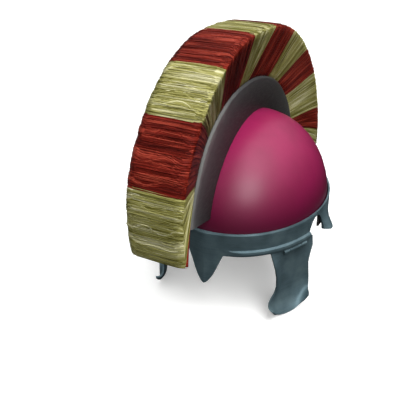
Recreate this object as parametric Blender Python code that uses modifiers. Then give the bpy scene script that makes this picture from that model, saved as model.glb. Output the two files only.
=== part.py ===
"""Crested legionary helmet: enamelled bowl, steel brow band with nose guard, flared neck guard, two hinged
cheek guards, and a fore-and-aft crest of two-coloured hair bundles in an arched holder.

Metres, +Z up. The helmet faces -Y and its crest lies in the plane X = 0. The origin is the middle of the
head opening, in the plane of the rim. A bearing is the angle round the bowl's plan from the front, positive
towards +X. A pitch is the angle in the crest's plane from straight up, positive towards the back.
"""

import math

import bmesh
import bpy
from mathutils import Matrix, Vector

# Bowl
BOWL_WIDTH = 0.190
BOWL_LENGTH = 0.228
BOWL_HEIGHT = 0.1196
BOWL_WALL_HEIGHT = 0.016
BOWL_THICKNESS = 0.0025
BOWL_COLUMNS = 48
BOWL_ROWS = 11

# Sheet metal that lies round the bowl
SHEET_THICKNESS = 0.002
SHEET_GAP = 0.0006
BAND_HEIGHT = 0.027
BAND_END_BEARING = 77.3
BAND_COLUMN_STEP = 3.0
JOINT_GAP = 0.0004
BAND_BEVEL = 0.0016
BEAD_PROUD = 0.0021
BEAD_HEIGHT = 0.0065
BEAD_FADE_START = 12.0
BEAD_FADE_END = 26.0

# Nose guard, part of the brow band
NOSE_WIDTH = 0.040
NOSE_DROP = 0.0380
NOSE_RIDGE = 0.0034
NOSE_RIDGE_SPREAD = 9.0
NOSE_RIDGE_ON_BAND = 0.45
NOSE_STRETCH_TOP = 0.012

# Section of the brow band, down its outer face and up its inner face
BAND_SECTION = (
    # height, on the inner face, step out, share of the bead, share of the nose guard's drop
    (BAND_HEIGHT, False, -0.5 * BAND_BEVEL, 0.0, 0.0),
    (BAND_HEIGHT - BAND_BEVEL, False, 0.0, 0.0, 0.0),
    (NOSE_STRETCH_TOP, False, 0.0, 0.0, 0.0),
    (1.12 * BEAD_HEIGHT, False, 0.0, -0.20, 0.12),
    (0.85 * BEAD_HEIGHT, False, 0.0, 0.85, 0.28),
    (0.50 * BEAD_HEIGHT, False, 0.0, 1.0, 0.46),
    (0.18 * BEAD_HEIGHT, False, 0.0, 0.80, 0.72),
    (0.0, False, 0.0, 0.40, 1.0),
    (0.0, True, 0.0, 0.0, 1.0),
    (0.50 * BEAD_HEIGHT, True, 0.0, 0.0, 0.46),
    (NOSE_STRETCH_TOP, True, 0.0, 0.0, 0.0),
    (BAND_HEIGHT, True, 0.0, 0.0, 0.0),
)

# Ear arch
ARCH_BEARING = 77.3
ARCH_WIDTH = 0.025
ARCH_HEIGHT = 0.0225
ARCH_SHOULDER = 0.30
ARCH_POINTS = 9
BOWL_ARCH_MARGIN = 0.0015
ARCH_CUT_DEPTH = 0.030

# Neck guard
NECK_SIDE_FLARE = 0.0125
NECK_WAIST_FLARE = 0.0006
NECK_BACK_FLARE = 0.036
NECK_FLARE_START = 81.0
NECK_FLARE_FULL = 86.0
NECK_WAIST_START = 87.0
NECK_WAIST_END = 101.0
NECK_BACK_START = 128.0
NECK_BACK_DROP = 0.014
NECK_CURL = 1.7
NECK_ROWS = 7

# Cheek guards
CHEEK_BEARING = 58.7
CHEEK_WIDTH = 0.065
CHEEK_LENGTH = 0.0835
CHEEK_THICKNESS = 0.0018
CHEEK_GAP = 0.0006
CHEEK_FLARE = 0.0100
CHEEK_DISH = 0.0022
CHEEK_FRONT_FLANGE = 0.0052
CHEEK_REAR_RIM = 0.0026
CHEEK_CORNER = 0.016
CHEEK_COLUMNS = (0.0, 0.05, 0.10, 0.15, 0.20, 0.27, 0.40, 0.54, 0.68, 0.80, 0.87, 0.93, 1.0)

# Cheek guard outline, its front and rear edges measured from the hinge's middle
CHEEK_ROWS = (
    # share of the length, front and rear as shares of the width, share of the flare, of the corners
    (0.000, -0.50, 0.46, 0.00, 0.0),
    (0.130, -0.47, 0.44, 0.00, 0.0),
    (0.250, -0.43, 0.37, 0.00, 0.0),
    (0.370, -0.40, 0.34, 0.00, 0.0),
    (0.520, -0.39, 0.37, 0.00, 0.0),
    (0.620, -0.43, 0.39, 0.02, 0.0),
    (0.710, -0.49, 0.39, 0.07, 0.1),
    (0.800, -0.53, 0.37, 0.18, 0.3),
    (0.860, -0.54, 0.34, 0.31, 0.45),
    (0.910, -0.54, 0.30, 0.50, 0.6),
    (0.955, -0.53, 0.26, 0.74, 0.8),
    (1.000, -0.51, 0.21, 1.00, 1.0),
)

# Hinges of the cheek guards
HINGE_LENGTH = 0.034
KNUCKLE_RADIUS = 0.0024
PIN_RADIUS = 0.0010
PIN_GAP = 0.0003
HINGE_DROP = 0.0031
KNUCKLE_GAP = 0.0004
KNUCKLE_SIDES = 16
HINGE_NECK = 0.0014

# Crest holder
HOLDER_RADIUS = 0.156
HOLDER_FOOT_WIDTH = 0.008
HOLDER_RIM_WIDTH = 0.012
HOLDER_SEAT_GAP = 0.0003
HOLDER_SEAT_HOLLOW = 0.0002
HOLDER_FRONT_PITCH = -75.0
HOLDER_BACK_PITCH = 79.5
HOLDER_RIM_DEPTH = 0.0075
HOLDER_RIM_BEVEL = 0.0022
GROOVE_WIDTH = 0.0070
GROOVE_DEPTH = 0.0060
CREST_CENTRE_HEIGHT = 0.010

# Crest of hair
CREST_RADIUS = 0.2145
CREST_WIDTH = 0.056
ROOT_GAP = 0.0003
BUNDLE_GAP = 0.0004
LOCK_WIDTH = 0.011
LOCK_GROOVE = 0.0009
LOCK_SECTIONS = (0.0, 0.5)

# Arcs of the crest: holder rim and hair ends as shares of their radii, by pitch
CREST_ARCS = (
    # pitch, rim, ends
    (-81.0, 1.040, 0.995),
    (-63.0, 1.050, 1.100),
    (-45.0, 1.070, 1.117),
    (-28.0, 1.035, 1.078),
    (-8.0, 0.975, 0.990),
    (15.0, 0.940, 0.938),
    (40.0, 0.945, 0.914),
    (65.0, 0.970, 0.935),
    (87.0, 0.985, 0.975),
    (100.0, 0.985, 0.960),
)

# Edges between the hair bundles: pitch at the hair ends and pitch at the root
BUNDLE_EDGES = (
    # ends, root
    (-80.4, -74.0),
    (-80.0, -66.0),
    (-63.2, -60.0),
    (-47.4, -43.0),
    (-33.8, -32.5),
    (-17.0, -15.5),
    (-1.6, -6.0),
    (16.2, 18.5),
    (35.3, 32.8),
    (52.5, 50.2),
    (72.8, 69.5),
    (84.6, 75.5),
    (91.0, 79.0),
)

# Section of a hair bundle, from the root up one side to the middle of the outer face
# (half width from 0 at the root's width to 1 at the crest's, height from 0 at the rim to 1 at the ends)
BUNDLE_SECTION = (
    # width, height, share of a lock's groove
    (0.00, 0.012, 0.0),
    (0.34, 0.34, 0.5),
    (0.70, 0.70, 1.0),
    (0.98, 0.965, 1.0),
    (0.93, 1.000, 1.0),
    (0.45, 1.008, 1.0),
)

# Colours as linear red, green, blue, then metallic and roughness
MATERIALS = {
    "crimson_enamel": ((0.33, 0.008, 0.055, 1.0), 0.0, 0.25),
    "grey_steel": ((0.11, 0.17, 0.19, 1.0), 1.0, 0.38),
    "gunmetal": ((0.06, 0.06, 0.06, 1.0), 1.0, 0.35),
    "straw_hair": ((0.56, 0.52, 0.22, 1.0), 0.0, 0.65),
    "red_hair": ((0.22, 0.016, 0.010, 1.0), 0.0, 0.65),
}


def clear_scene():
    for scene_object in list(bpy.data.objects):
        bpy.data.objects.remove(scene_object, do_unlink=True)


def new_collection(name):
    collection = bpy.data.collections.new(name)
    bpy.context.scene.collection.children.link(collection)
    return collection


def make_materials():
    made = {}
    for name, (colour, metallic, roughness) in MATERIALS.items():
        material = bpy.data.materials.new(name)
        material.use_nodes = True
        shader = material.node_tree.nodes["Principled BSDF"]
        shader.inputs["Base Color"].default_value = colour
        shader.inputs["Metallic"].default_value = metallic
        shader.inputs["Roughness"].default_value = roughness
        material.diffuse_color = colour
        made[name] = material
    return made


def smoothstep(low, high, value):
    share = min(max((value - low) / (high - low), 0.0), 1.0)
    return share * share * (3.0 - 2.0 * share)


def plan_normal(bearing):
    """Outward level direction of the bowl's plan at a bearing."""
    turn = math.radians(bearing)
    return Vector((math.sin(turn) / BOWL_WIDTH, -math.cos(turn) / BOWL_LENGTH, 0.0)).normalized()


def plan_point(bearing, offset, height):
    """Point beside the bowl's wall: offset outward from its outer face, at a height above the rim."""
    turn = math.radians(bearing)
    base = Vector((0.5 * BOWL_WIDTH * math.sin(turn), -0.5 * BOWL_LENGTH * math.cos(turn), height))
    return base + plan_normal(bearing) * offset


def bearing_step(length, bearing):
    """Degrees of bearing that a length takes along the plan, near a bearing."""
    turn = math.radians(bearing)
    pace = math.hypot(0.5 * BOWL_WIDTH * math.cos(turn), 0.5 * BOWL_LENGTH * math.sin(turn))
    return math.degrees(length / pace)


def arc_radius(pitch, column, radius):
    """Radius of one of the crest's arcs at a pitch, on a smooth curve through the table's rows."""
    rows = CREST_ARCS
    last = len(rows) - 2
    index = max(i for i in range(last + 1) if i == 0 or rows[i][0] <= pitch)
    low, high = rows[index], rows[index + 1]
    before, after = rows[max(index - 1, 0)], rows[min(index + 2, last + 1)]
    span = high[0] - low[0]
    share = (pitch - low[0]) / span
    slope_low = (high[column] - before[column]) / (high[0] - before[0]) * span
    slope_high = (after[column] - low[column]) / (after[0] - low[0]) * span
    square, cube = share ** 2, share ** 3
    value = (
        (2 * cube - 3 * square + 1) * low[column]
        + (cube - 2 * square + share) * slope_low
        + (3 * square - 2 * cube) * high[column]
        + (cube - square) * slope_high
    )
    return value * radius


def crest_point(side, pitch, radius):
    """Point beside the crest's plane, at a pitch and a radius about the crest's centre."""
    turn = math.radians(pitch)
    return Vector((side, radius * math.sin(turn), CREST_CENTRE_HEIGHT + radius * math.cos(turn)))


def bowl_profile():
    """Corners of the bowl's outline in the plane X = 0, front to back, as pitch and radius."""
    rise = BOWL_HEIGHT - BOWL_WALL_HEIGHT
    back = []
    for row in range(BOWL_ROWS):
        turn = 0.5 * math.pi * row / BOWL_ROWS
        reach = 0.5 * BOWL_LENGTH * math.cos(turn)
        height = BOWL_WALL_HEIGHT + rise * math.sin(turn) - CREST_CENTRE_HEIGHT
        back.append((math.degrees(math.atan2(reach, height)), math.hypot(reach, height)))
    front = [(-pitch, radius) for pitch, radius in back]
    return front + [(0.0, BOWL_HEIGHT - CREST_CENTRE_HEIGHT)] + back[::-1]


def bowl_radius(pitch):
    """Radius from the crest's centre to the bowl's straight-sided outline, in the plane X = 0."""
    profile = bowl_profile()
    index = max(i for i in range(len(profile) - 1) if i == 0 or profile[i][0] <= pitch)
    (first, near), (second, far) = profile[index], profile[index + 1]
    before, after = math.radians(pitch - first), math.radians(second - pitch)
    return near * far * math.sin(before + after) / (near * math.sin(before) + far * math.sin(after))


def holder_pitches():
    """Pitches of the holder's sections: one over each corner of the bowl's outline and one between."""
    corners = [pitch for pitch, _ in bowl_profile() if HOLDER_FRONT_PITCH < pitch < HOLDER_BACK_PITCH]
    marks = [HOLDER_FRONT_PITCH] + corners + [HOLDER_BACK_PITCH]
    pitches = [HOLDER_FRONT_PITCH]
    for low, high in zip(marks, marks[1:]):
        pitches += [0.5 * (low + high), high]
    return pitches


def link_mesh(name, vertices, faces, collection, material=None, origin=Vector()):
    mesh = bpy.data.meshes.new(name)
    mesh.from_pydata([tuple(Vector(vertex) - origin) for vertex in vertices], [], faces)
    mesh.update()
    made = bpy.data.objects.new(name, mesh)
    made.location = origin
    collection.objects.link(made)
    if material is not None:
        mesh.materials.append(material)
    return made


def grid_faces(rows, columns, closed=False):
    """Quads between the points of a grid that is stored row by row."""
    faces = []
    for row in range(rows - 1):
        for column in range(columns if closed else columns - 1):
            right = (column + 1) % columns
            low = row * columns
            high = low + columns
            faces.append((low + column, low + right, high + right, high + column))
    return faces


def turn_faces_out(mesh_object):
    edit = bmesh.new()
    edit.from_mesh(mesh_object.data)
    bmesh.ops.recalc_face_normals(edit, faces=edit.faces)
    edit.to_mesh(mesh_object.data)
    edit.free()


def shade(mesh_object, angle=35.0):
    mesh_object.data.shade_smooth()
    mesh_object.data.set_sharp_from_angle(angle=math.radians(angle))


def solidify(mesh_object, thickness):
    modifier = mesh_object.modifiers.new("thickness", "SOLIDIFY")
    modifier.thickness = thickness
    modifier.offset = -1.0
    modifier.use_even_offset = True


def combine(mesh_object, other, operation):
    modifier = mesh_object.modifiers.new(other.name, "BOOLEAN")
    modifier.object = other
    modifier.operation = operation
    modifier.solver = "EXACT"


def hide_tool(tool):
    tool.hide_render = True
    tool.display_type = "WIRE"
    return tool


def make_bowl(parts, material, arches):
    """Dome over a short upright wall, one sheet, cut by both ear arches."""
    vertices, faces = [], []
    rise = BOWL_HEIGHT - BOWL_WALL_HEIGHT
    rings = [(0.0, 1.0), (BOWL_WALL_HEIGHT, 1.0)]
    for row in range(1, BOWL_ROWS):
        turn = 0.5 * math.pi * row / BOWL_ROWS
        rings.append((BOWL_WALL_HEIGHT + rise * math.sin(turn), math.cos(turn)))
    for height, share in rings:
        for column in range(BOWL_COLUMNS):
            rim = plan_point(360.0 * column / BOWL_COLUMNS, 0.0, height)
            vertices.append((rim.x * share, rim.y * share, height))
    faces = grid_faces(len(rings), BOWL_COLUMNS, closed=True)
    crown = len(vertices)
    vertices.append((0.0, 0.0, BOWL_HEIGHT))
    last = crown - BOWL_COLUMNS
    for column in range(BOWL_COLUMNS):
        faces.append((last + column, last + (column + 1) % BOWL_COLUMNS, crown))
    bowl = link_mesh("bowl", vertices, faces, parts, material)
    solidify(bowl, BOWL_THICKNESS)
    for arch in arches:
        combine(bowl, arch, "DIFFERENCE")
    shade(bowl)
    return bowl


def nose_depth(bearing):
    """How far the brow band's lower edge drops at a bearing, to draw the nose guard."""
    reach = abs(plan_point(bearing, 0.0, 0.0).x) / (0.5 * NOSE_WIDTH)
    if reach >= 1.0:
        return 0.0
    return NOSE_DROP * (1.0 - reach ** 1.7) ** 1.15


def band_columns():
    """Bearings of the brow band's columns, close together across the nose guard."""
    near = 0.5 * math.degrees(NOSE_WIDTH / BOWL_WIDTH) * 2.0
    steps = 8
    inner = [near * (index / steps) for index in range(-steps, steps + 1)]
    count = math.ceil((BAND_END_BEARING - near) / BAND_COLUMN_STEP)
    end = BAND_END_BEARING - bearing_step(0.5 * JOINT_GAP, BAND_END_BEARING)
    outer = [near + (end - near) * (index + 1) / count for index in range(count)]
    return [-bearing for bearing in reversed(outer)] + inner + outer


def make_brow_band(parts, material, arches, hinge_tools):
    """Band with a raised bead along its lower edge, drawn down at the front into the nose guard."""
    face = SHEET_GAP + SHEET_THICKNESS
    vertices = []
    bearings = band_columns()
    for bearing in bearings:
        bead = BEAD_PROUD * smoothstep(BEAD_FADE_START, BEAD_FADE_END, abs(bearing))
        depth = nose_depth(bearing)
        ridge = NOSE_RIDGE * max(0.0, 1.0 - abs(bearing) / NOSE_RIDGE_SPREAD)
        for height, inner, step, proud, stretch in BAND_SECTION:
            offset = SHEET_GAP if inner else face + step + proud * bead
            least = 0.0 if inner else NOSE_RIDGE_ON_BAND
            offset += ridge * (least + (1.0 - least) * stretch)
            vertices.append(plan_point(bearing, offset, height - depth * stretch))
    points = len(BAND_SECTION)
    faces = grid_faces(len(bearings), points, closed=True) + close_ends(len(bearings), points)
    band = link_mesh("brow_band", vertices, faces, parts, material)
    turn_faces_out(band)
    for arch in arches:
        combine(band, arch, "DIFFERENCE")
    for knuckle in hinge_tools["band"]:
        combine(band, knuckle, "UNION")
    for bore in hinge_tools["bores"]:
        combine(band, bore, "DIFFERENCE")
    shade(band)
    return band


def outward_from_axis(centre, normal):
    return normal.x * centre.x + normal.y * centre.y > 0.0


def flip_towards(mesh_object, faces_out):
    """Turns the faces of an open surface over where they face in."""
    mesh = mesh_object.data
    votes = sum(1 if faces_out(face.center, face.normal) else -1 for face in mesh.polygons)
    if votes < 0:
        mesh.flip_normals()


def neck_flare(bearing):
    """How far the neck guard's lower rim stands out: a wing at the ear, then close to the bowl, wide behind."""
    wing = NECK_SIDE_FLARE * smoothstep(NECK_FLARE_START, NECK_FLARE_FULL, bearing)
    waist = smoothstep(NECK_WAIST_START, NECK_WAIST_END, bearing)
    back = smoothstep(NECK_BACK_START, 180.0, bearing)
    return wing + (NECK_WAIST_FLARE - wing) * waist + (NECK_BACK_FLARE - NECK_WAIST_FLARE) * back


def make_neck_guard(parts, material, arches):
    """Skirt from ear to ear round the back, curling outward to its rim."""
    face = SHEET_GAP + SHEET_THICKNESS
    start = BAND_END_BEARING + bearing_step(0.5 * JOINT_GAP, BAND_END_BEARING)
    half = [start, 79.5, 81.2, 82.8, 84.3, 85.8, 87.4, 89.2, 92.0, 96.0, 101.0, 107.0]
    half += [114.0, 122.0, 131.0, 141.0, 151.0, 161.0, 171.0]
    bearings = half + [180.0] + [360.0 - bearing for bearing in reversed(half)]
    vertices = []
    for row in range(NECK_ROWS):
        share = row / (NECK_ROWS - 1)
        for bearing in bearings:
            near = min(bearing, 360.0 - bearing)
            drop = NECK_BACK_DROP * smoothstep(95.0, 180.0, near)
            height = BAND_HEIGHT - (BAND_HEIGHT + drop) * share
            offset = face + neck_flare(near) * share ** NECK_CURL
            vertices.append(plan_point(bearing, offset, height))
    faces = grid_faces(NECK_ROWS, len(bearings))
    guard = link_mesh("neck_guard", vertices, faces, parts, material)
    flip_towards(guard, outward_from_axis)
    solidify(guard, SHEET_THICKNESS)
    for arch in arches:
        combine(guard, arch, "DIFFERENCE")
    shade(guard)
    return guard


def make_ear_arch(name, side, margin, tools):
    """Round-headed cutter for the ear, run through the wall, and grown by a margin all round."""
    half_width = 0.5 * ARCH_WIDTH + margin
    outline = [(-half_width, -ARCH_CUT_DEPTH)]
    shoulder = ARCH_SHOULDER * ARCH_HEIGHT
    for index in range(ARCH_POINTS):
        turn = math.pi * index / (ARCH_POINTS - 1)
        rise = ARCH_HEIGHT + margin - shoulder
        outline.append((-half_width * math.cos(turn), shoulder + rise * math.sin(turn)))
    outline.append((half_width, -ARCH_CUT_DEPTH))
    normal = plan_normal(ARCH_BEARING)
    along_wall = Vector((-normal.y, normal.x, 0.0))
    middle = plan_point(ARCH_BEARING, 0.0, 0.0)
    vertices = []
    for reach in (-ARCH_CUT_DEPTH, ARCH_CUT_DEPTH):
        for along, height in outline:
            point = middle + normal * reach + along_wall * along + Vector((0.0, 0.0, height))
            vertices.append((point.x * side, point.y, point.z))
    count = len(outline)
    faces = [tuple(range(count)), tuple(range(2 * count - 1, count - 1, -1))]
    for index in range(count):
        after = (index + 1) % count
        faces.append((index, index + count, after + count, after))
    cutter = hide_tool(link_mesh(name, vertices, faces, tools))
    turn_faces_out(cutter)
    return cutter


def hinge_frame(side):
    """Middle of a cheek guard's hinge, the direction of its pin and the level way out."""
    face = SHEET_GAP + SHEET_THICKNESS - 0.5 * CHEEK_THICKNESS
    middle = plan_point(CHEEK_BEARING, face, -HINGE_DROP)
    out = plan_normal(CHEEK_BEARING)
    along = Vector((-out.y, out.x, 0.0))
    return (
        Vector((middle.x * side, middle.y, middle.z)),
        Vector((along.x * side, along.y, 0.0)),
        Vector((out.x * side, out.y, 0.0)),
    )


def rod(name, middle, along, length, radius, collection, material=None, sides=KNUCKLE_SIDES):
    """Round bar along a hinge."""
    edit = bmesh.new()
    bmesh.ops.create_cone(
        edit, cap_ends=True, segments=sides, radius1=radius, radius2=radius, depth=length
    )
    mesh = bpy.data.meshes.new(name)
    edit.to_mesh(mesh)
    edit.free()
    made = bpy.data.objects.new(name, mesh)
    made.location = middle
    made.rotation_euler = along.to_track_quat("Z", "Y").to_euler()
    collection.objects.link(made)
    if material is not None:
        mesh.materials.append(material)
    return made


def leaf(name, middle, along, out, length, radius, neck_width, neck_top, tools):
    """Knuckle with the neck that carries it, one outline drawn out along the hinge."""
    neck = min(0.5 * neck_width, radius)
    opening = math.asin(neck / radius)
    outline = [(neck, neck_top)]
    for index in range(KNUCKLE_SIDES + 1):
        turn = opening + (2.0 * math.pi - 2.0 * opening) * index / KNUCKLE_SIDES
        outline.append((radius * math.sin(turn), radius * math.cos(turn)))
    outline.append((-neck, neck_top))
    vertices = []
    for end in (-0.5, 0.5):
        for step_out, step_up in outline:
            vertices.append(middle + along * length * end + out * step_out + Vector((0.0, 0.0, step_up)))
    points = len(outline)
    made = link_mesh(name, vertices, grid_faces(2, points, closed=True) + close_ends(2, points), tools)
    turn_faces_out(made)
    return hide_tool(made)


def make_hinge_tools(tools):
    """Leaves, bores and clearances of both hinges: the band has the outer knuckles."""
    made = {"band": [], "bores": [], "left": {}, "right": {}}
    middle_length = 0.5 * HINGE_LENGTH
    outer_length = 0.5 * (HINGE_LENGTH - middle_length) - KNUCKLE_GAP
    wide = KNUCKLE_RADIUS + KNUCKLE_GAP
    for label, side in (("left", 1), ("right", -1)):
        middle, along, out = hinge_frame(side)
        made[label]["cuts"] = []
        for end, sign in (("front", -1.0), ("rear", 1.0)):
            place = middle + along * sign * (0.5 * middle_length + KNUCKLE_GAP + 0.5 * outer_length)
            made["band"].append(
                leaf(
                    f"{label}_{end}_leaf", place, along, out, outer_length,
                    KNUCKLE_RADIUS, HINGE_NECK, HINGE_DROP + HINGE_NECK, tools
                )
            )
            made[label]["cuts"].append(
                leaf(
                    f"{label}_{end}_clearance", place, along, out, outer_length + 2.0 * KNUCKLE_GAP,
                    wide, 2.0 * wide, HINGE_DROP + HINGE_NECK, tools
                )
            )
        bore = rod(f"{label}_bore", middle, along, HINGE_LENGTH + KNUCKLE_GAP, PIN_RADIUS + PIN_GAP, tools)
        made["bores"].append(hide_tool(bore))
        made[label]["bore"] = bore
        knuckle_length = middle_length - KNUCKLE_GAP
        knuckle = rod(f"{label}_middle_knuckle", middle, along, knuckle_length, KNUCKLE_RADIUS, tools)
        made[label]["knuckle"] = hide_tool(knuckle)
    return made


def make_cheek_guard(label, side, parts, material, hinge_tools):
    """Dished plate that hangs from its hinge, waisted, with an out-turned foot and raised edges."""
    face = SHEET_GAP + SHEET_THICKNESS
    vertices = []
    for drop, front, rear, flare, corner in CHEEK_ROWS:
        edge_fade = smoothstep(0.0, 0.18, drop)
        for share in CHEEK_COLUMNS:
            reach = CHEEK_WIDTH * (front + (rear - front) * share)
            bearing = CHEEK_BEARING + bearing_step(reach, CHEEK_BEARING)
            front_flange = CHEEK_FRONT_FLANGE * (1.0 - smoothstep(0.0, 0.22, share))
            rear_rim = CHEEK_REAR_RIM * smoothstep(0.86, 1.0, share)
            dish = CHEEK_DISH * math.sin(math.pi * share)
            offset = face + CHEEK_FLARE * flare + (front_flange + rear_rim - dish) * edge_fade
            lift = CHEEK_CORNER * corner * abs(2.0 * share - 1.0) ** 3
            vertices.append(plan_point(bearing, offset, lift - CHEEK_GAP - drop * CHEEK_LENGTH))
    for vertex in vertices:
        vertex.x *= side
    origin = hinge_frame(side)[0]
    faces = grid_faces(len(CHEEK_ROWS), len(CHEEK_COLUMNS))
    guard = link_mesh(f"cheek_guard_{label}", vertices, faces, parts, material, origin)
    flip_towards(guard, lambda centre, normal: outward_from_axis(centre + origin, normal))
    solidify(guard, CHEEK_THICKNESS)
    for cut in hinge_tools[label]["cuts"]:
        combine(guard, cut, "DIFFERENCE")
    combine(guard, hinge_tools[label]["knuckle"], "UNION")
    combine(guard, hinge_tools[label]["bore"], "DIFFERENCE")
    shade(guard)
    return guard


def make_hinge_pin(label, side, parts, material):
    middle, along, _ = hinge_frame(side)
    length = HINGE_LENGTH - 2.0 * KNUCKLE_GAP
    pin = rod(f"hinge_pin_{label}", middle, along, length, PIN_RADIUS, parts, material)
    shade(pin)
    return pin


def close_ends(sections, points):
    """End faces of a solid that is stored as closed sections one after another."""
    first = tuple(range(points))
    last = tuple(range((sections - 1) * points, sections * points))
    return [first, tuple(reversed(last))]


def rung_ends(sections, points):
    """End faces of mirrored sections, as level rungs from one side to the other."""
    faces = []
    last = (sections - 1) * points
    for index in range(points // 2 - 1):
        across = points - 1 - index
        faces.append((index, index + 1, across - 1, across))
        faces.append((last + across, last + across - 1, last + index + 1, last + index))
    return faces


def make_crest_holder(parts, material):
    """Arched plate on the bowl's middle line, thicker at its rim, grooved there for the hair."""
    half_foot = 0.5 * HOLDER_FOOT_WIDTH
    half_rim = 0.5 * HOLDER_RIM_WIDTH
    half_groove = 0.5 * GROOVE_WIDTH
    vertices = []
    pitches = holder_pitches()
    for pitch in pitches:
        foot = bowl_radius(pitch) + HOLDER_SEAT_GAP
        rim = arc_radius(pitch, 1, HOLDER_RADIUS)
        section = (
            (half_foot, foot - HOLDER_SEAT_HOLLOW),
            (half_rim, rim - HOLDER_RIM_DEPTH),
            (half_rim, rim - HOLDER_RIM_BEVEL),
            (half_groove + 0.3 * HOLDER_RIM_BEVEL, rim),
            (half_groove, rim),
            (half_groove, rim - GROOVE_DEPTH),
        )
        mirrored = [(-width, radius) for width, radius in reversed(section)]
        for width, radius in (*section, *mirrored, (0.0, foot)):
            vertices.append(crest_point(width, pitch, radius))
    points = 2 * len(section) + 1
    faces = grid_faces(len(pitches), points, closed=True) + close_ends(len(pitches), points)
    holder = link_mesh("crest_holder", vertices, faces, parts, material)
    turn_faces_out(holder)
    shade(holder)
    return holder


def make_hair_bundle(number, start, end, parts, material):
    """Fan of locks rooted in the holder's groove, spreading to the crest's flat outer face."""
    root_half = 0.5 * GROOVE_WIDTH - ROOT_GAP
    crest_half = 0.5 * CREST_WIDTH
    outer_arc = math.radians(end[0] - start[0]) * CREST_RADIUS
    locks = max(1, round(outer_arc / LOCK_WIDTH))
    steps = [(lock + share) / locks for lock in range(locks) for share in LOCK_SECTIONS] + [1.0]
    end_gap = math.degrees(0.5 * BUNDLE_GAP / CREST_RADIUS)
    root_gap = math.degrees(0.5 * BUNDLE_GAP / HOLDER_RADIUS)
    vertices = []
    for index, step in enumerate(steps):
        is_groove = index % len(LOCK_SECTIONS) == 0
        at_ends = (start[0] + end_gap) * (1.0 - step) + (end[0] - end_gap) * step
        at_root = (start[1] + root_gap) * (1.0 - step) + (end[1] - root_gap) * step
        root = arc_radius(at_root, 1, HOLDER_RADIUS)
        reach = arc_radius(at_ends, 2, CREST_RADIUS)
        section = [(root_half, at_root, root - GROOVE_DEPTH + ROOT_GAP)]
        for width, height, groove_share in BUNDLE_SECTION:
            inset = LOCK_GROOVE * groove_share if is_groove else 0.0
            half = root_half + (crest_half - root_half) * width - inset
            radius = root + (reach - root) * height - (inset if height > 0.9 else 0.0)
            section.append((max(half, root_half), at_root + (at_ends - at_root) * height, radius))
        whole = section + [(-half, pitch, radius) for half, pitch, radius in reversed(section)]
        for half, pitch, radius in whole:
            vertices.append(crest_point(half, pitch, radius))
    points = 2 * len(section)
    faces = grid_faces(len(steps), points, closed=True) + rung_ends(len(steps), points)
    bundle = link_mesh(f"hair_bundle_{number:02d}", vertices, faces, parts, material)
    turn_faces_out(bundle)
    shade(bundle, 50.0)
    return bundle


def build():
    clear_scene()
    parts = new_collection("legionary_helmet")
    tools = new_collection("cutters")
    materials = make_materials()
    arches, bowl_arches = [], []
    for label, side in (("left", 1), ("right", -1)):
        arches.append(make_ear_arch(f"ear_arch_{label}", side, 0.0, tools))
        bowl_arches.append(make_ear_arch(f"bowl_arch_{label}", side, BOWL_ARCH_MARGIN, tools))
    hinge_tools = make_hinge_tools(tools)
    make_bowl(parts, materials["crimson_enamel"], bowl_arches)
    make_brow_band(parts, materials["grey_steel"], arches, hinge_tools)
    make_neck_guard(parts, materials["grey_steel"], arches)
    for label, side in (("left", 1), ("right", -1)):
        make_cheek_guard(label, side, parts, materials["grey_steel"], hinge_tools)
        make_hinge_pin(label, side, parts, materials["gunmetal"])
    make_crest_holder(parts, materials["gunmetal"])
    colours = ("red_hair", "straw_hair")
    for number, (start, end) in enumerate(zip(BUNDLE_EDGES, BUNDLE_EDGES[1:])):
        make_hair_bundle(number, start, end, parts, materials[colours[number % 2]])


build()
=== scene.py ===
"""Crested legionary helmet, dressed: combed horsehair over the crest, enamel on the bowl, burnished steel on
the sheets and blackened steel on the crest holder. Metres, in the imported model's own frame.

A pitch is the angle in the crest's plane from straight up, positive towards the back.
"""

import math

import bpy
import numpy as np
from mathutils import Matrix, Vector


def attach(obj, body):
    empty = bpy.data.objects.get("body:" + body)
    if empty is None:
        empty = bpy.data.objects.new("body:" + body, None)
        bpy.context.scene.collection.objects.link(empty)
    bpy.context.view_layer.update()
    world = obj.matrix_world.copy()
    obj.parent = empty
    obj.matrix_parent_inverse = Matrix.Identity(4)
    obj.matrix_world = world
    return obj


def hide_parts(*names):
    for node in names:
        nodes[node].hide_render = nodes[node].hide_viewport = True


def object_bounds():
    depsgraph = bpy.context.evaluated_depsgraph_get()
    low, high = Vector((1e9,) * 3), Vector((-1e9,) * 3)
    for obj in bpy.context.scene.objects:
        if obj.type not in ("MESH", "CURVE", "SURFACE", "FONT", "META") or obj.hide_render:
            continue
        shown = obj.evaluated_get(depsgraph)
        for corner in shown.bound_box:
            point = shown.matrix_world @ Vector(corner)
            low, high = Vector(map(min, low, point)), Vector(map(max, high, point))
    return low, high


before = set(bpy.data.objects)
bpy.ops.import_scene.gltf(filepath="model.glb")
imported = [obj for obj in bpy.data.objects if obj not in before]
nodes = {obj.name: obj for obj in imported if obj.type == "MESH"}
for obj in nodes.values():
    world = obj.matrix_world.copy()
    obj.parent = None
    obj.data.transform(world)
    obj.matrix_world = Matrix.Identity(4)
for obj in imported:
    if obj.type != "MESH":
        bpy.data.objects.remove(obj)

CAD_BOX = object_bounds()
MM = 0.001

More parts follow.
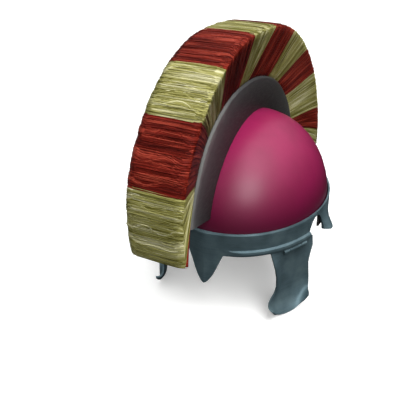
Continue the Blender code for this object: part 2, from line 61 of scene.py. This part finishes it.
# The crest's sizes, as in the solids
GROOVE_WIDTH = 0.0070
HOLDER_RADIUS = 0.156
CREST_RADIUS = 0.2145
CREST_WIDTH = 0.056
CREST_CENTRE_HEIGHT = 0.010
CREST_ARCS = (
    # pitch, rim, ends
    (-81.0, 1.040, 0.995),
    (-63.0, 1.050, 1.100),
    (-45.0, 1.070, 1.117),
    (-28.0, 1.035, 1.078),
    (-8.0, 0.975, 0.990),
    (15.0, 0.940, 0.938),
    (40.0, 0.945, 0.914),
    (65.0, 0.970, 0.935),
    (87.0, 0.985, 0.975),
    (100.0, 0.985, 0.960),
)
BUNDLE_EDGES = (
    # ends, root
    (-80.4, -74.0),
    (-80.0, -66.0),
    (-63.2, -60.0),
    (-47.4, -43.0),
    (-33.8, -32.5),
    (-17.0, -15.5),
    (-1.6, -6.0),
    (16.2, 18.5),
    (35.3, 32.8),
    (52.5, 50.2),
    (72.8, 69.5),
    (84.6, 75.5),
    (91.0, 79.0),
)

ARC_STEPS = 400

# Path of a hair, up a flank and across the outer face: heights are shares of the crest's height, from the
# hair's root at the holder's rim to its ends, and sides are shares of half the crest's width
FLANK_TOP = 0.975
FACE_START = 0.97
FACE_EDGE = 0.955
FACE_CROWN = 0.008
TUFT_REACH = 0.93  # the red tuft at the foot ends under the straw, short of the outer face

# Combed hair: strips side by side, on swells that are broader than a strip, waved on the outer face
STRIP_WIDTH = 0.0017
STRIP_RELIEF = 0.0006
STRIP_UNEVENNESS = 0.35  # of the relief, how far a strip may lie above or below the rest
STRIP_COLUMNS = 4
FLANK_ROWS = 15
FACE_ROWS = 9
FEWEST_STRIPS = 2
WAVES = 3
WAVE_START = 0.9
WAVE = 0.0032
WAVE_SHARE = 0.15  # of its bundle's width, the most that a wave moves a strip
WAVE_PHASES = (0.0, 6.28)
WAVE_PACES = (1.2, 2.6)
WAVE_SLANT = 2.5
SWELL = 0.00022
SWELL_PACE = 9.0
SWELL_SLANT = 3.0
EDGE_HOLD = 4.0  # waves die out over the outer quarter of a bundle, so that neighbours meet in a line
EDGE_TUCK = 0.0004
PATTERN_SHIFT = 0.37  # between the hair maps of two bundles, so that no two are alike

# Single hairs over the strips. Their reach is a share of the path from root to root.
HAIRS_PER_MM = 3.0
FEWEST_HAIRS = 8
HAIR_RADIUS = 0.00030
HAIR_THICKNESSES = (0.7, 1.2)
HAIR_CORNERS = (90.0, 210.0, 330.0)  # of a hair's section, in degrees
HAIR_ROWS = 26
HAIR_LENGTH = 0.17
HAIR_PATH_ROWS = (60, 40)
SHORTEST_REACH = 0.35
WHOLE_REACH = (0.02, 0.98)
HAIR_SWAY = 0.0016
HAIR_SWAY_START = 0.85
HAIR_SWAY_PACES = (3.0, 8.0)
HAIR_SWAY_PHASES = (0.0, 6.0)
FLANK_SWAY = 0.25
HAIR_LIFTS = (-0.3, 0.9)
STRAY_SHARE = 0.05
STRAY_LIFT = 0.0007
HAIR_MAP_SHIFT = 0.0004
TIP_TAPER = 0.75
TIP_POWER = 8
SMALL = 1e-12  # keeps a direction without length from being divided by 0
SEED = 41

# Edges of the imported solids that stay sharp, in degrees. The band's bead turns in smaller steps.
CREASE = 32.0
BAND_CREASE = 17.0

# Where the painted shade changes: over the bowl's enamel's height, dark low down and lighter higher up; over
# the holder's radius, painted shade near the bowl and a painted highlight at the rim
ENAMEL_SHADE_HEIGHTS = (20.0 * MM, 118.0 * MM)
HOLDER_PAINTED_LIGHT_RADII = (116.0 * MM, 163.0 * MM)
WEAR_REACH = 6.0 * MM

# Studio, in metres
FLOOR_DROP = 0.5 * MM
FLOOR_REACH = 6.0
BACKDROP_RADIUS = 5.9
BACKDROP_BELOW = 2.0
BACKDROP_ABOVE = 9.0
BACKDROP_STEPS = 48
LAMP_DISTANCE = 5.0
LAMP_AIM = (0.0, 0.0, 0.08)
SOFTBOXES = (
    # name, azimuth, elevation, size, power, glossy
    ("high_softbox", 74.0, 66.0, 4.0, 200.0, False),
    ("low_softbox", 42.0, 37.0, 2.7, 80.0, True),
    ("front_fill", -42.0, 12.0, 2.6, 5.0, True),
)

# The photograph's camera
LENS_MM = 47.14
SENSOR_MM = 36.0
CAMERA_PLACE = (0.2179, -0.5538, 0.3328)
CAMERA_ELEVATION = 29.845
CAMERA_AZIMUTH = 25.806


def linear(code):
    """Linear colour of an sRGB hex code."""
    values = [int(code[i:i + 2], 16) / 255.0 for i in (1, 3, 5)]
    return tuple(v / 12.92 if v <= 0.04045 else ((v + 0.055) / 1.055) ** 2.4 for v in values) + (1.0,)


def arc_radius(pitch, column, radius):
    """Radius of one of the crest's arcs at a pitch, on a smooth curve through the table's rows."""
    rows = CREST_ARCS
    index = max(i for i in range(len(rows) - 1) if i == 0 or rows[i][0] <= pitch)
    low, high = rows[index], rows[index + 1]
    before, after = rows[max(index - 1, 0)], rows[min(index + 2, len(rows) - 1)]
    span = high[0] - low[0]
    share = (pitch - low[0]) / span
    slope_low = (high[column] - before[column]) / (high[0] - before[0]) * span
    slope_high = (after[column] - low[column]) / (after[0] - low[0]) * span
    square, cube = share ** 2, share ** 3
    value = (
        (2 * cube - 3 * square + 1) * low[column]
        + (cube - 2 * square + share) * slope_low
        + (3 * square - 2 * cube) * high[column]
        + (cube - square) * slope_high
    )
    return value * radius


PITCHES = np.linspace(CREST_ARCS[0][0], CREST_ARCS[-1][0], ARC_STEPS)
RIM = np.array([arc_radius(pitch, 1, HOLDER_RADIUS) for pitch in PITCHES])
ENDS = np.array([arc_radius(pitch, 2, CREST_RADIUS) for pitch in PITCHES])


def rise(height, start):
    """0 up to a height of the crest, and from there up to 1 at its ends."""
    return np.clip((height - start) / (1.0 - start), 0.0, 1.0)


def hair_path(bundle, rows_flank, rows_face):
    """Path of a hair from its left root over the outer face to its right root: its sides and heights."""
    flank = np.linspace(0.0, 1.0, rows_flank)
    side = 1.0 - (1.0 - flank) * (1.0 - GROOVE_WIDTH / CREST_WIDTH)
    height = flank * FLANK_TOP
    face = np.linspace(1.0, -1.0, rows_face + 2)[1:-1] * FACE_EDGE
    crown = 1.0 + FACE_CROWN * (1.0 - face ** 2)
    sides = np.concatenate([side, face, -side[::-1]])
    heights = np.concatenate([height, crown, height[::-1]])
    if bundle == 0:
        heights *= TUFT_REACH
    return sides, heights


def crest_points(side, height, along, bundle, out):
    """Points of the crest, so far out from its flank or face: side -1 to 1, height 0 at the holder's rim to 1
    at the ends, along 0 to 1 over a bundle.
    """
    start, end = BUNDLE_EDGES[bundle], BUNDLE_EDGES[bundle + 1]
    at_ends = start[0] + (end[0] - start[0]) * along
    at_root = start[1] + (end[1] - start[1]) * along
    pitch = at_root + (at_ends - at_root) * np.clip(height, 0.0, 1.0)
    low = np.interp(at_root, PITCHES, RIM)
    high = np.interp(at_ends, PITCHES, ENDS)
    radius = low + (high - low) * height
    on_face = rise(height, FACE_START)
    x = side * 0.5 * CREST_WIDTH + np.sign(side) * out * (1.0 - on_face)
    radius = radius + out * on_face
    turn = np.radians(pitch)
    return np.stack([x, radius * np.sin(turn), CREST_CENTRE_HEIGHT + radius * np.cos(turn)], -1)


def mesh_from(name, points, quads, uv, tone):
    """Mesh with a map in metres across and along the hair, and one tone a point."""
    mesh = bpy.data.meshes.new(name)
    mesh.from_pydata(points.tolist(), [], quads.tolist())
    layer = mesh.uv_layers.new(name="hair")
    corners = np.zeros(len(mesh.loops), int)
    mesh.loops.foreach_get("vertex_index", corners)
    layer.data.foreach_set("uv", uv[corners].ravel())
    mark = mesh.attributes.new("tone", "FLOAT", "POINT")
    mark.data.foreach_set("value", tone)
    mesh.shade_smooth()
    made = bpy.data.objects.new(name, mesh)
    bpy.context.scene.collection.objects.link(made)
    return made


def combed_bundle(bundle, rng):
    """Strips of hair laid side by side, a closed fan from root to root."""
    start, end = BUNDLE_EDGES[bundle], BUNDLE_EDGES[bundle + 1]
    arc = math.radians(end[0] - start[0]) * CREST_RADIUS
    strips = max(FEWEST_STRIPS, round(arc / STRIP_WIDTH))
    columns = strips * STRIP_COLUMNS + 1
    side, height = (values[:, None] for values in hair_path(bundle, FLANK_ROWS, FACE_ROWS))
    rows = len(side)
    across = np.linspace(0.0, 1.0, columns)
    strip = np.minimum((across * strips).astype(int), strips - 1)
    within = across * strips - strip
    level = rng.uniform(-1.0, 1.0, strips)
    tones = rng.uniform(0.0, 1.0, strips)
    round_top = np.sqrt(np.clip(1.0 - (2.0 * within - 1.0) ** 2, 0.0, 1.0))
    out = STRIP_RELIEF * (round_top - 1.0) * np.ones((rows, 1))
    out += STRIP_UNEVENNESS * STRIP_RELIEF * level[strip]
    drift = np.zeros((rows, columns))
    for wave in range(1, WAVES + 1):
        phase = rng.uniform(*WAVE_PHASES, 2)
        pace = rng.uniform(*WAVE_PACES)
        sway = np.sin(pace * side * 2.0 + phase[0] + WAVE_SLANT * across * wave)
        drift += sway * rise(height, WAVE_START) * min(WAVE / arc, WAVE_SHARE)
        out += SWELL * np.sin(phase[1] + SWELL_PACE * wave * across + SWELL_SLANT * height)
    along = across + drift * np.clip(np.minimum(across, 1.0 - across) * EDGE_HOLD, 0.0, 1.0)
    out[:, [0, -1]] -= EDGE_TUCK
    whole = np.ones((1, columns))
    grid = crest_points(side * whole, height * whole, along, bundle, out)
    points = grid.reshape(-1, 3)
    quads = []
    for row in range(rows - 1):
        base = row * columns + np.arange(columns - 1)
        quads.append(np.stack([base, base + 1, base + columns + 1, base + columns], 1))
    # The root is closed from flank to flank, and so are the bundle's two ends
    last = (rows - 1) * columns
    base = np.arange(columns - 1)
    quads.append(np.stack([base + 1, base, last + base, last + base + 1], 1))
    for column in (0, columns - 1):
        for row in range(rows // 2):
            low, high = row * columns + column, (rows - 1 - row) * columns + column
            quad = [low, low + columns, high - columns, high]
            if row + 1 < rows - 2 - row:
                quads.append(np.array([quad if column == 0 else quad[::-1]]))
    steps = np.linalg.norm(np.diff(grid[:, columns // 2], axis=0), axis=1)
    travelled = np.concatenate([[0.0], np.cumsum(steps)])
    uv = np.stack([
        np.broadcast_to(across * arc + PATTERN_SHIFT * bundle, (rows, columns)),
        np.broadcast_to(travelled[:, None], (rows, columns)),
    ], -1).reshape(-1, 2)
    tone = np.broadcast_to(tones[strip], (rows, columns)).ravel()
    return mesh_from(f"combed_hair_{bundle:02d}", points, np.concatenate(quads), uv, tone)


def loose_hairs(bundle, rng):
    """Single hairs that lie over the strips, a few of them astray."""
    start, end = BUNDLE_EDGES[bundle], BUNDLE_EDGES[bundle + 1]
    arc = math.radians(end[0] - start[0]) * CREST_RADIUS
    count = max(FEWEST_HAIRS, int(arc / MM * HAIRS_PER_MM))
    sides = len(HAIR_CORNERS)
    points, quads, uvs, tones = [], [], [], []
    path_side, path_height = hair_path(bundle, *HAIR_PATH_ROWS)
    path = np.linspace(0.0, 1.0, len(path_side))
    for _ in range(count):
        place = rng.uniform(0.0, 1.0)
        reach = np.sort(rng.uniform(0.0, 1.0, 2))
        if reach[1] - reach[0] < SHORTEST_REACH:
            reach = WHOLE_REACH
        steps = np.linspace(reach[0], reach[1], HAIR_ROWS)
        side = np.interp(steps, path, path_side)
        height = np.interp(steps, path, path_height)
        swing = rng.uniform(-1.0, 1.0) * HAIR_SWAY
        sway = swing * np.sin(steps * rng.uniform(*HAIR_SWAY_PACES) + rng.uniform(*HAIR_SWAY_PHASES))
        along = place + sway * (FLANK_SWAY + rise(height, HAIR_SWAY_START)) / arc
        lift = HAIR_RADIUS * rng.uniform(*HAIR_LIFTS)
        if rng.uniform(0.0, 1.0) < STRAY_SHARE:
            lift += STRAY_LIFT
        centre = crest_points(side, height, along, bundle, lift * np.ones(HAIR_ROWS))
        forward = np.gradient(centre, axis=0)
        forward /= np.linalg.norm(forward, axis=1)[:, None] + SMALL
        turn = math.radians(start[0] + (end[0] - start[0]) * place)
        lengthwise = np.array([0.0, math.cos(turn), -math.sin(turn)])
        up = np.cross(forward, lengthwise)
        up /= np.linalg.norm(up, axis=1)[:, None] + SMALL
        tips = np.abs(np.linspace(-1.0, 1.0, HAIR_ROWS)) ** TIP_POWER
        radius = HAIR_RADIUS * rng.uniform(*HAIR_THICKNESSES) * (1.0 - TIP_TAPER * tips)
        base = len(points) * HAIR_ROWS * sides
        ring = []
        for angle in HAIR_CORNERS:
            spin = math.radians(angle)
            ring.append(centre + (up * math.sin(spin) + lengthwise * math.cos(spin)) * radius[:, None])
        points.append(np.stack(ring, 1).reshape(-1, 3))
        for row in range(HAIR_ROWS - 1):
            low = base + row * sides
            for corner in range(sides):
                after = (corner + 1) % sides
                quads.append((low + corner, low + after, low + sides + after, low + sides + corner))
        mapped = np.full(HAIR_ROWS, place * arc + PATTERN_SHIFT * bundle + HAIR_MAP_SHIFT)
        uvs.append(np.repeat(np.stack([mapped, steps * HAIR_LENGTH], -1), sides, 0))
        tones.append(np.full(HAIR_ROWS * sides, rng.uniform(0.0, 1.0)))
    points, uvs, tones = (np.concatenate(rows) for rows in (points, uvs, tones))
    return mesh_from(f"loose_hair_{bundle:02d}", points, np.array(quads), uvs, tones)


def add(look, kind, inputs=None, stops=(), out=0, **settings):
    """Adds one node to a material or world, with its settings, its inputs as values or as other nodes'
    outputs, and the stops of its colour ramp. Gives back the output asked for. A map range's inputs go by
    number: 0 is the value, 1 and 2 its range, 3 and 4 the new range. A colour mix has its share as 0, and its
    colours as 6 and 7.
    """
    node = look.node_tree.nodes.new("ShaderNode" + kind)
    for name, value in settings.items():
        setattr(node, name, value)
    for key, value in (inputs or {}).items():
        if isinstance(value, bpy.types.NodeSocket):
            look.node_tree.links.new(value, node.inputs[key])
        else:
            node.inputs[key].default_value = value
    for index, (place, colour) in enumerate(stops):
        ramp = node.color_ramp.elements
        stop = ramp[index] if index < 2 else ramp.new(place)
        stop.position, stop.color = place, linear(colour)
    return node.outputs[out] if node.outputs else None


def new_look(name):
    """Material with an empty node tree."""
    look = bpy.data.materials.new(name)
    look.use_nodes = True
    look.node_tree.nodes.clear()
    return look


def per(size):
    """Pattern scale that gives features of this size in millimetres."""
    return 1.0 / (size * MM)


def horsehair(name, gap_painted_shade, shade, lit, pale):
    """Dyed horsehair, combed straight and waxed. Single hairs are 0.2 mm thick, too fine to show, so they are
    drawn as threads of about 1 mm that gather in 3 mm strips, with painted shade dark in the gaps between
    the strips and a painted highlight pale on their crowns, with faded lengths here and there and a faint
    sheen.
    """
    look = new_look(name)
    combed = add(look, "UVMap", uv_map="hair")
    threads = add(look, "Mapping", {"Vector": combed, "Scale": (per(1.0), per(60.0), 1.0)})
    threads = add(look, "TexNoise", {"Vector": threads, "Scale": 1.0, "Detail": 3.0, "Roughness": 0.6})
    strips = add(look, "Mapping", {"Vector": combed, "Scale": (per(3.0), per(90.0), 1.0)})
    strips = add(look, "TexNoise", {"Vector": strips, "Scale": 1.0, "Detail": 2.0})
    faded = add(look, "Mapping", {"Vector": combed, "Scale": (per(11.0), per(50.0), 1.0)})
    faded = add(look, "TexNoise", {"Vector": faded, "Scale": 1.0, "Detail": 1.0})
    strip_tone = add(look, "Attribute", attribute_name="tone", out="Fac")
    # Strip and thread noise adds painted shade in the gaps and a painted highlight on the crowns to the
    # strips' own random tone and the faded lengths
    tone_and_painted_shade = add(look, "Math", {0: strips, 1: 0.85, 2: -0.16}, operation="MULTIPLY_ADD")
    tone_and_painted_shade = add(look, "Math", {0: threads, 1: 0.42, 2: tone_and_painted_shade}, operation="MULTIPLY_ADD")
    tone_and_painted_shade = add(look, "Math", {0: strip_tone, 1: 0.26, 2: tone_and_painted_shade}, operation="MULTIPLY_ADD")
    tone_and_painted_shade = add(look, "Math", {0: faded, 1: 0.60, 2: tone_and_painted_shade}, operation="MULTIPLY_ADD")
    tone_and_painted_shade = add(look, "MapRange", {0: tone_and_painted_shade, 1: 0.50, 2: 1.16})
    # Stops: painted shade in the gaps, shaded hair, lit hair, painted highlight on the crowns
    colour = add(look, "ValToRGB", {0: tone_and_painted_shade}, ((0.0, gap_painted_shade), (0.30, shade), (0.66, lit), (1.0, pale)))
    ridges = add(look, "Bump", {"Strength": 0.5, "Distance": 0.4 * MM, "Height": threads})
    hair = add(look, "BsdfPrincipled", {
        "Base Color": colour, "Roughness": 0.55, "Specular IOR Level": 0.14, "Sheen Weight": 0.02,
        "Sheen Roughness": 0.4, "Normal": ridges,
    })
    add(look, "OutputMaterial", {"Surface": hair})
    return look


def crimson_enamel():
    """Glass enamel fired over sheet steel: one deep crimson coat with a broad soft gloss, cloudy where it
    pooled, with painted shade that darkens it low on the bowl and lighter towards the top, with a faint
    orange-peel surface and hairline scratches.
    Inside, where the bowl's normals turn to its middle, the steel is bare and grey from the fire.
    """
    look = new_look("crimson_fired_enamel")
    place = add(look, "TexCoord", out="Object")
    height = add(look, "SeparateXYZ", {0: place}, out="Z")
    height = add(look, "MapRange", {0: height, 1: ENAMEL_SHADE_HEIGHTS[0], 2: ENAMEL_SHADE_HEIGHTS[1]})
    pools = add(look, "TexNoise", {"Vector": place, "Scale": per(40.0), "Detail": 4.0, "Roughness": 0.55})
    peel = add(look, "TexNoise", {"Vector": place, "Scale": per(1.6), "Detail": 2.0})
    scratches = add(look, "Mapping", {
        "Vector": place, "Rotation": (0.5, 0.9, 0.3), "Scale": (per(15.0), per(1.1), per(1.1)),
    })
    scratches = add(look, "TexNoise", {"Vector": scratches, "Scale": 1.0, "Detail": 2.0, "Roughness": 0.7})
    scratches = add(look, "MapRange", {0: scratches, 1: 0.70, 2: 0.78})
    # Painted shade: the enamel is dark low on the bowl and lighter towards its top
    coat = add(look, "ValToRGB", {0: height}, ((0.0, "#3F061F"), (0.45, "#841044"), (1.0, "#A61B58")))
    pooled = add(look, "MapRange", {0: pools, 1: 0.42, 2: 0.75, 4: 0.30})
    coat = add(look, "Mix", {0: pooled, 6: coat, 7: linear("#5E0829")}, out=2, data_type="RGBA")
    scratched = add(look, "Math", {0: scratches, 1: 0.16}, operation="MULTIPLY")
    coat = add(look, "Mix", {0: scratched, 6: coat, 7: linear("#D07A9C")}, out=2, data_type="RGBA")
    facing = add(look, "TexCoord", out="Normal")
    facing = add(look, "VectorMath", {0: facing, 1: place}, out="Value", operation="DOT_PRODUCT")
    inside = add(look, "Math", {0: facing, 1: 0.0}, operation="LESS_THAN")
    scale_tone = add(look, "MapRange", {0: pools, 1: 0.3, 2: 0.7})
    bare = add(look, "ValToRGB", {0: scale_tone}, ((0.0, "#4A4A48"), (1.0, "#6C6B66")))
    coat = add(look, "Mix", {0: inside, 6: coat, 7: bare}, out=2, data_type="RGBA")
    rough = add(look, "MapRange", {0: pools, 3: 0.36, 4: 0.48})
    rough = add(look, "Math", {0: scratches, 1: 0.12, 2: rough}, operation="MULTIPLY_ADD")
    surface = add(look, "Bump", {"Strength": 0.10, "Distance": 0.3 * MM, "Height": peel})
    enamel = add(look, "BsdfPrincipled", {
        "Base Color": coat, "Roughness": rough, "Normal": surface, "Coat Weight": 0.55,
        "Coat Roughness": 0.36,
    })
    add(look, "OutputMaterial", {"Surface": enamel})
    return look


def burnished_steel():
    """Sheet steel, hammered to shape, ground and burnished along its length: fine lines run round the helmet,
    the metal is blue-grey with oil-darkened patches and small pits, and its planished dents catch the light.
    """
    look = new_look("burnished_sheet_steel")
    place = add(look, "TexCoord", out="Object")
    lines = add(look, "Mapping", {"Vector": place, "Scale": (per(22.0), per(22.0), per(0.55))})
    lines = add(look, "TexNoise", {"Vector": lines, "Scale": 1.0, "Detail": 3.0, "Roughness": 0.6})
    patches = add(look, "TexNoise", {"Vector": place, "Scale": per(26.0), "Detail": 3.0, "Roughness": 0.5})
    dents = add(look, "TexNoise", {"Vector": place, "Scale": per(11.0), "Detail": 1.0})
    pits = add(look, "TexVoronoi", {"Vector": place, "Scale": per(2.4)})
    pits = add(look, "MapRange", {0: pits, 1: 0.05, 2: 0.20, 3: 1.0, 4: 0.0})
    tone = add(look, "MapRange", {0: patches, 1: 0.30, 2: 0.72})
    metal = add(look, "ValToRGB", {0: tone}, ((0.0, "#50666D"), (0.5, "#637A82"), (1.0, "#7A9298")))
    burnished = add(look, "MapRange", {0: lines, 1: 0.4, 2: 0.75, 4: 0.25})
    metal = add(look, "Mix", {0: burnished, 6: metal, 7: linear("#90A6AD")}, out=2, data_type="RGBA")
    pitted = add(look, "Math", {0: pits, 1: 0.28}, operation="MULTIPLY")
    metal = add(look, "Mix", {0: pitted, 6: metal, 7: linear("#2E3A40")}, out=2, data_type="RGBA")
    rough = add(look, "MapRange", {0: patches, 3: 0.50, 4: 0.40})
    rough = add(look, "Math", {0: lines, 1: 0.14, 2: rough}, operation="MULTIPLY_ADD")
    surface = add(look, "Bump", {"Strength": 0.20, "Distance": 0.6 * MM, "Height": dents})
    surface = add(look, "Bump", {"Strength": 0.14, "Distance": 0.2 * MM, "Height": lines, "Normal": surface})
    steel = add(look, "BsdfPrincipled", {
        "Base Color": metal, "Metallic": 0.60, "Roughness": rough, "Normal": surface,
    })
    add(look, "OutputMaterial", {"Surface": steel})
    return look


def blackened_steel():
    """Steel blackened in oil over the forge, with a brushed grain: painted shade makes it near black where it
    meets the bowl and a painted highlight lightens it to grey metal at the rim, with an uneven, worn edge
    between.
    """
    look = new_look("oil_blackened_steel")
    place = add(look, "TexCoord", out="Object")
    in_plane = add(look, "Mapping", {
        "Vector": place, "Location": (0.0, 0.0, -CREST_CENTRE_HEIGHT), "Scale": (0.0, 1.0, 1.0),
    })
    radius = add(look, "VectorMath", {0: in_plane}, out="Value", operation="LENGTH")
    wear = add(look, "TexNoise", {"Vector": place, "Scale": per(16.0), "Detail": 5.0, "Roughness": 0.6})
    grain = add(look, "Mapping", {"Vector": place, "Scale": (per(1.1), per(7.0), per(1.1))})
    grain = add(look, "TexNoise", {"Vector": grain, "Scale": 1.0, "Detail": 3.0})
    # Painted shade near the bowl and a painted highlight at the rim, by radius, its edge made uneven by wear
    # noise
    wear_and_painted_light = add(look, "MapRange", {0: wear, 3: -WEAR_REACH, 4: WEAR_REACH})
    wear_and_painted_light = add(look, "Math", {0: wear_and_painted_light, 1: radius}, operation="ADD")
    wear_and_painted_light = add(look, "MapRange", {0: wear_and_painted_light, 1: HOLDER_PAINTED_LIGHT_RADII[0], 2: HOLDER_PAINTED_LIGHT_RADII[1]})
    metal = add(look, "ValToRGB", {0: wear_and_painted_light}, (
        (0.0, "#2E2E2F"), (0.48, "#464647"), (0.82, "#606061"), (1.0, "#8E8E8C"),
    ))
    brushed = add(look, "MapRange", {0: grain, 1: 0.45, 2: 0.8, 4: 0.20})
    metal = add(look, "Mix", {0: brushed, 6: metal, 7: linear("#8A8A88")}, out=2, data_type="RGBA")
    rough = add(look, "MapRange", {0: wear, 3: 0.46, 4: 0.62})
    surface = add(look, "Bump", {"Strength": 0.16, "Distance": 0.3 * MM, "Height": grain})
    steel = add(look, "BsdfPrincipled", {
        "Base Color": metal, "Metallic": 0.45, "Roughness": rough, "Normal": surface,
    })
    add(look, "OutputMaterial", {"Surface": steel})
    return look


def studio_paper():
    """Matt white background paper on a light table: its fibres just show close to, and it softens shadows."""
    look = new_look("matt_studio_paper")
    place = add(look, "TexCoord", out="Object")
    fibres = add(look, "TexNoise", {"Vector": place, "Scale": per(2.0), "Detail": 2.0})
    paper = add(look, "ValToRGB", {0: fibres}, ((0.3, "#F4F4F3"), (0.7, "#F9F9F8")))
    paper = add(look, "BsdfPrincipled", {
        "Base Color": paper, "Roughness": 0.9, "Specular IOR Level": 0.1, "Emission Color": paper,
        "Emission Strength": 0.30,
    })
    add(look, "OutputMaterial", {"Surface": paper})
    return look


def lit_backdrop():
    """White cloth lit from behind: an even pale ground."""
    look = new_look("backlit_studio_cloth")
    place = add(look, "TexCoord", out="Object")
    weave = add(look, "TexNoise", {"Vector": place, "Scale": per(900.0), "Detail": 1.0})
    cloth = add(look, "ValToRGB", {0: weave}, ((0.3, "#F8F8F7"), (0.7, "#FDFDFC")))
    cloth = add(look, "Emission", {"Color": cloth, "Strength": 1.08})
    add(look, "OutputMaterial", {"Surface": cloth})
    return look


def staged(name, points, faces, material):
    """Part of the studio, seen by the camera alone, so that it throws no light up under the helmet."""
    mesh = bpy.data.meshes.new(name)
    mesh.from_pydata(points, [], faces)
    mesh.materials.append(material)
    made = bpy.data.objects.new(name, mesh)
    made.visible_diffuse = False
    made.visible_glossy = False
    bpy.context.scene.collection.objects.link(made)
    return made


def dress(node, material, crease):
    """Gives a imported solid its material, and smooth faces between edges that turn more than the crease."""
    mesh = node.data
    mesh.materials.clear()
    mesh.materials.append(material)
    if "custom_normal" in mesh.attributes:
        mesh.attributes.remove(mesh.attributes["custom_normal"])
    mesh.shade_smooth()
    weld = node.modifiers.new("weld", "WELD")
    weld.merge_threshold = 0.01 * MM
    split = node.modifiers.new("crease", "EDGE_SPLIT")
    split.split_angle = math.radians(crease)
    split.use_edge_sharp = False


def softbox(name, azimuth, elevation, size, power, glossy):
    """Round soft light at a bearing from the front and a height, facing the helmet. Where it isn't glossy, it
    lights the colour alone, with no shine, as through crossed polarisers.
    """
    turn, rise = math.radians(azimuth), math.radians(elevation)
    back = Vector((math.sin(turn) * math.cos(rise), -math.cos(turn) * math.cos(rise), math.sin(rise)))
    data = bpy.data.lights.new(name, "AREA")
    data.shape = "DISK"
    data.size = size
    data.energy = power
    lamp = bpy.data.objects.new(name, data)
    lamp.location = Vector(LAMP_AIM) + back * LAMP_DISTANCE
    lamp.rotation_mode = "QUATERNION"
    lamp.visible_glossy = glossy
    lamp.rotation_quaternion = (-back).to_track_quat("-Z", "Y")
    bpy.context.scene.collection.objects.link(lamp)


# Finishes of the solids
sheet_finish, holder_finish = burnished_steel(), blackened_steel()
dress(nodes["bowl"], crimson_enamel(), CREASE)
dress(nodes["brow_band"], sheet_finish, BAND_CREASE)
for node_name in ("neck_guard", "cheek_guard_left", "cheek_guard_right"):
    dress(nodes[node_name], sheet_finish, CREASE)
for node_name in ("crest_holder", "hinge_pin_left", "hinge_pin_right"):
    dress(nodes[node_name], holder_finish, CREASE)

# Hair of the crest, red and straw by turns from the foot at the front
# Each hair's colours: painted shade in the gaps, shaded hair, lit hair, painted highlight on the crowns
hair_finishes = (
    ("red_hair", horsehair("red_dyed_horsehair", "#1E0302", "#4C0D07", "#761C11", "#B84C39")),
    ("straw_hair", horsehair("straw_horsehair", "#302E0A", "#6E6A2A", "#A8A462", "#E4E0B8")),
)
seeded = np.random.default_rng(SEED)
for number in range(len(BUNDLE_EDGES) - 1):
    slot_name, hair_finish = hair_finishes[number % 2]
    for piece in (combed_bundle(number, seeded), loose_hairs(number, seeded)):
        piece.data.materials.append(hair_finish)
        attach(piece, "helmet")
        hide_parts(f"hair_bundle_{number:02d}")

# Floor, and a round backdrop behind it on every side
level = CAD_BOX[0].z - FLOOR_DROP
corners = [(x * FLOOR_REACH, y * FLOOR_REACH, level) for x, y in ((-1, -1), (1, -1), (1, 1), (-1, 1))]
staged("studio_floor", corners, [(0, 1, 2, 3)], studio_paper())
turns = [math.tau * step / BACKDROP_STEPS for step in range(BACKDROP_STEPS)]
wall = [
    (BACKDROP_RADIUS * math.sin(turn), BACKDROP_RADIUS * math.cos(turn), z)
    for z in (level - BACKDROP_BELOW, level + BACKDROP_ABOVE) for turn in turns
]
panels = [
    (step, (step + 1) % BACKDROP_STEPS, BACKDROP_STEPS + (step + 1) % BACKDROP_STEPS, BACKDROP_STEPS + step)
    for step in range(BACKDROP_STEPS)
]
backdrop = staged("studio_backdrop", wall, panels, lit_backdrop())
backdrop.visible_shadow = False

# Light: soft boxes high and low at the wearer's left, a weak one at the right, and a dome bright overhead
for lamp_row in SOFTBOXES:
    softbox(*lamp_row)
dome = bpy.data.worlds.new("studio_dome")
bpy.context.scene.world = dome
dome.use_nodes = True
dome.node_tree.nodes.clear()
upward = add(dome, "TexCoord", out="Generated")
upward = add(dome, "SeparateXYZ", {0: upward}, out="Z")
upward = add(dome, "MapRange", {0: upward, 1: -1.0, 2: 1.0})
glow = add(dome, "ValToRGB", {0: upward}, (
    (0.0, "#1A1A1A"), (0.48, "#222222"), (0.60, "#4C4C4C"), (0.76, "#B8B8B8"), (1.0, "#FFFFFF"),
))
glow = add(dome, "Background", {"Color": glow, "Strength": 1.15})
add(dome, "OutputWorld", {"Surface": glow})

# Camera, as the photograph's
camera_data = bpy.data.cameras.new("camera")
camera_data.lens = LENS_MM
camera_data.sensor_width = SENSOR_MM
camera = bpy.data.objects.new("camera", camera_data)
camera.location = CAMERA_PLACE
camera.rotation_euler = (math.radians(90.0 - CAMERA_ELEVATION), 0.0, math.radians(CAMERA_AZIMUTH))
bpy.context.scene.collection.objects.link(camera)
bpy.context.scene.camera = camera
bpy.context.scene.view_settings.view_transform = "Standard"
bpy.context.scene.view_settings.look = "None"
